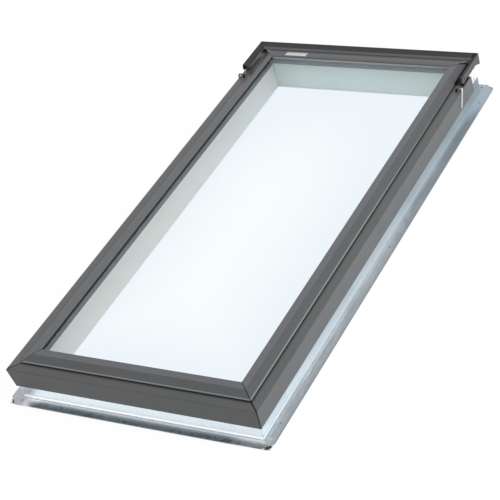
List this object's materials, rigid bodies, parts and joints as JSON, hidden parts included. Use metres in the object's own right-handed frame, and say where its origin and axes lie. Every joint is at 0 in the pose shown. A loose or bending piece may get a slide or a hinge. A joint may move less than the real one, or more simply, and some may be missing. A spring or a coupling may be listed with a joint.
{
  "type": "roof skylight",
  "caption": "Fixed deck-mounted roof skylight: painted timber frame, sealed insulating glass, folded grey metal cladding with a dark hood at its top, and a galvanised fixing flange.",
  "frame": {"origin": "middle of the footprint, on the roof deck that the frame and its deck seal lie on", "axes": "+X to the right as seen from the foot of the roof, +Y up the roof slope towards the hood, +Z out of the roof"},
  "size_m": [0.576, 1.167, 0.0998],
  "materials": {
    "white_timber": "white paint, satin",
    "pane_glass": "clear",
    "spacer_metal": "mill",
    "edge_sealant": "matt",
    "black_rubber": "matt",
    "block_plastic": "matt",
    "cap_metal": "grey lacquer, satin",
    "skirt_metal": "grey lacquer, satin",
    "hood_metal": "dark grey lacquer, satin",
    "galvanised_steel": "galvanised, bright",
    "clip_steel": "bright",
    "zinc_steel": "zinc plated"
  },
  "bodies": {
    "root": {"sill_rail": "white_timber", "head_rail": "white_timber", "left_stile": "white_timber", "right_stile": "white_timber", "corner_screws": "zinc_steel", "outer_pane": "pane_glass", "inner_pane": "pane_glass", "spacer_bar": "spacer_metal", "edge_seal": "edge_sealant", "bed_gasket": "black_rubber", "cap_gasket": "black_rubber", "setting_blocks": "block_plastic", "front_cap": "cap_metal", "rear_cap": "cap_metal", "left_cap": "cap_metal", "right_cap": "cap_metal", "cap_clips": "zinc_steel", "cladding_screws": "zinc_steel", "front_skirt": "skirt_metal", "left_skirt": "skirt_metal", "right_skirt": "skirt_metal", "hood": "hood_metal", "left_hood_bracket": "galvanised_steel", "right_hood_bracket": "galvanised_steel", "hood_screws": "zinc_steel", "left_clip": "clip_steel", "right_clip": "clip_steel", "clip_screws": "zinc_steel", "front_flange": "galvanised_steel", "rear_flange": "galvanised_steel", "left_flange": "galvanised_steel", "right_flange": "galvanised_steel", "flange_screws": "zinc_steel", "front_seal": "black_rubber", "rear_seal": "black_rubber", "left_seal": "black_rubber", "right_seal": "black_rubber"}
  },
  "joints": []
}
